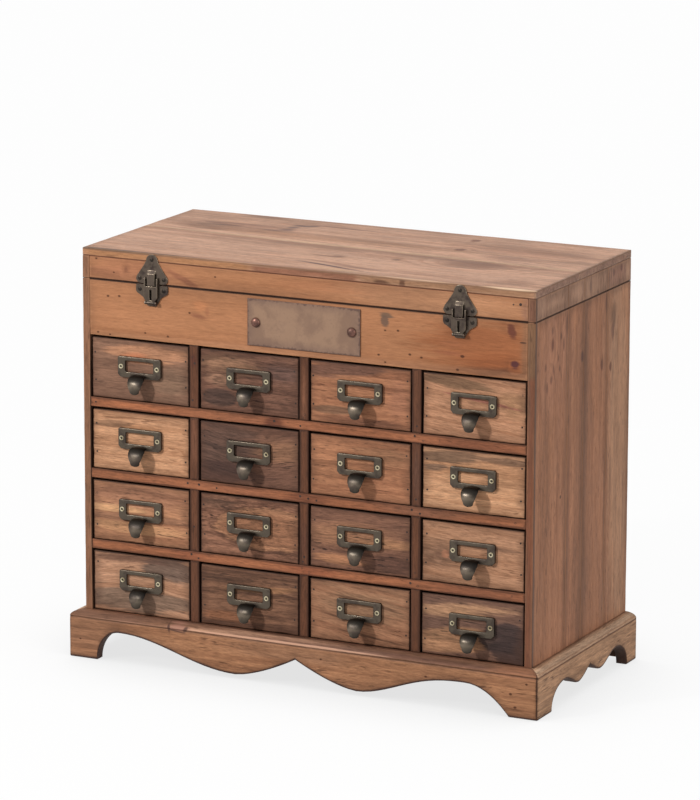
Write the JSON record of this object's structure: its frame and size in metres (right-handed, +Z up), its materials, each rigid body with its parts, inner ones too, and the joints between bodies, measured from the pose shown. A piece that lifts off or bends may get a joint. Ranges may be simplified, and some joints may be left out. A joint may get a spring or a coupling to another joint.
{
  "type": "apothecary chest",
  "caption": "Small wooden chest of label-pull drawers under a hinged lid with two box latches, on a scalloped plinth.",
  "frame": {"origin": "on the floor under the middle of the bounding box, which runs from the pulls to the hinge knuckles", "axes": "+Z up, +X to the right seen from the front, front towards -Y"},
  "size_m": [0.524, 0.2567, 0.4266],
  "materials": {
    "lid_pine": "brushed, lightly worn",
    "case_pine": "brushed, waxed",
    "side_wood": "old planks, matt",
    "rail_wood": "brushed, waxed",
    "plinth_wood": "worn, waxed",
    "inner_wood": "plain, unfinished",
    "drawer_tan": "old board, matt",
    "drawer_orange": "old board, matt",
    "drawer_brown": "old board, matt",
    "drawer_dark": "old board, dark stain",
    "pull_bronze": "aged bronze, satin",
    "latch_bronze": "aged, dark",
    "hinge_brass": "aged brass",
    "pin_steel": "plain",
    "nameplate_metal": "worn, matt",
    "nail_copper": "dark copper"
  },
  "bodies": {
    "case": {"side_left": "side_wood", "side_right": "side_wood", "back_panel": "inner_wood", "case_floor": "rail_wood", "till_floor": "inner_wood", "fascia": "case_pine", "shelves": "rail_wood", "column_dividers": "rail_wood", "plinth_front": "plinth_wood", "plinth_left": "plinth_wood", "plinth_right": "plinth_wood", "plinth_back": "inner_wood", "corner_blocks": "inner_wood", "hinge_case_leaves": "hinge_brass", "hinge_pins": "pin_steel", "latch_bases": "latch_bronze", "nameplate": "nameplate_metal", "nameplate_nails": "nail_copper"},
    "lid": {"lid_top": "lid_pine", "lid_front": "lid_pine", "lid_back": "lid_pine", "lid_left": "side_wood", "lid_right": "side_wood", "hinge_lid_leaves": "hinge_brass", "latch_plates": "latch_bronze"},
    "lever_left": {"latch_lever_left": "latch_bronze"},
    "lever_right": {"latch_lever_right": "latch_bronze"},
    "drawer_r1c1": {"drawer_11": "drawer_tan", "pull_11": "pull_bronze"},
    "drawer_r1c2": {"drawer_12": "drawer_dark", "pull_12": "pull_bronze"},
    "drawer_r1c3": {"drawer_13": "drawer_orange", "pull_13": "pull_bronze"},
    "drawer_r1c4": {"drawer_14": "drawer_tan", "pull_14": "pull_bronze"},
    "drawer_r2c1": {"drawer_21": "drawer_tan", "pull_21": "pull_bronze"},
    "drawer_r2c2": {"drawer_22": "drawer_dark", "pull_22": "pull_bronze"},
    "drawer_r2c3": {"drawer_23": "drawer_orange", "pull_23": "pull_bronze"},
    "drawer_r2c4": {"drawer_24": "drawer_tan", "pull_24": "pull_bronze"},
    "drawer_r3c1": {"drawer_31": "drawer_tan", "pull_31": "pull_bronze"},
    "drawer_r3c2": {"drawer_32": "drawer_brown", "pull_32": "pull_bronze"},
    "drawer_r3c3": {"drawer_33": "drawer_brown", "pull_33": "pull_bronze"},
    "drawer_r3c4": {"drawer_34": "drawer_tan", "pull_34": "pull_bronze"},
    "drawer_r4c1": {"drawer_41": "drawer_tan", "pull_41": "pull_bronze"},
    "drawer_r4c2": {"drawer_42": "drawer_dark", "pull_42": "pull_bronze"},
    "drawer_r4c3": {"drawer_43": "drawer_brown", "pull_43": "pull_bronze"},
    "drawer_r4c4": {"drawer_44": "drawer_tan", "pull_44": "pull_bronze"}
  },
  "joints": [
    {"name": "lid_hinge", "type": "hinge", "parent": "case", "child": "lid", "pos_m": [0, 0.12595, 0.39545], "axis": [-1, 0, 0], "range_deg": [0, 100]},
    {"name": "lever_left_hinge", "type": "hinge", "parent": "case", "child": "lever_left", "pos_m": [-0.17, -0.11885, 0.3771], "axis": [1, 0, 0], "range_deg": [0, 170]},
    {"name": "lever_right_hinge", "type": "hinge", "parent": "case", "child": "lever_right", "pos_m": [0.17, -0.11885, 0.3771], "axis": [1, 0, 0], "range_deg": [0, 170]},
    {"name": "drawer_r1c1_slide", "type": "slide", "parent": "case", "child": "drawer_r1c1", "axis": [0, -1, 0], "range_m": [0, 0.18]},
    {"name": "drawer_r1c2_slide", "type": "slide", "parent": "case", "child": "drawer_r1c2", "axis": [0, -1, 0], "range_m": [0, 0.18]},
    {"name": "drawer_r1c3_slide", "type": "slide", "parent": "case", "child": "drawer_r1c3", "axis": [0, -1, 0], "range_m": [0, 0.18]},
    {"name": "drawer_r1c4_slide", "type": "slide", "parent": "case", "child": "drawer_r1c4", "axis": [0, -1, 0], "range_m": [0, 0.18]},
    {"name": "drawer_r2c1_slide", "type": "slide", "parent": "case", "child": "drawer_r2c1", "axis": [0, -1, 0], "range_m": [0, 0.18]},
    {"name": "drawer_r2c2_slide", "type": "slide", "parent": "case", "child": "drawer_r2c2", "axis": [0, -1, 0], "range_m": [0, 0.18]},
    {"name": "drawer_r2c3_slide", "type": "slide", "parent": "case", "child": "drawer_r2c3", "axis": [0, -1, 0], "range_m": [0, 0.18]},
    {"name": "drawer_r2c4_slide", "type": "slide", "parent": "case", "child": "drawer_r2c4", "axis": [0, -1, 0], "range_m": [0, 0.18]},
    {"name": "drawer_r3c1_slide", "type": "slide", "parent": "case", "child": "drawer_r3c1", "axis": [0, -1, 0], "range_m": [0, 0.18]},
    {"name": "drawer_r3c2_slide", "type": "slide", "parent": "case", "child": "drawer_r3c2", "axis": [0, -1, 0], "range_m": [0, 0.18]},
    {"name": "drawer_r3c3_slide", "type": "slide", "parent": "case", "child": "drawer_r3c3", "axis": [0, -1, 0], "range_m": [0, 0.18]},
    {"name": "drawer_r3c4_slide", "type": "slide", "parent": "case", "child": "drawer_r3c4", "axis": [0, -1, 0], "range_m": [0, 0.18]},
    {"name": "drawer_r4c1_slide", "type": "slide", "parent": "case", "child": "drawer_r4c1", "axis": [0, -1, 0], "range_m": [0, 0.18]},
    {"name": "drawer_r4c2_slide", "type": "slide", "parent": "case", "child": "drawer_r4c2", "axis": [0, -1, 0], "range_m": [0, 0.18]},
    {"name": "drawer_r4c3_slide", "type": "slide", "parent": "case", "child": "drawer_r4c3", "axis": [0, -1, 0], "range_m": [0, 0.18]},
    {"name": "drawer_r4c4_slide", "type": "slide", "parent": "case", "child": "drawer_r4c4", "axis": [0, -1, 0], "range_m": [0, 0.18]}
  ]
}
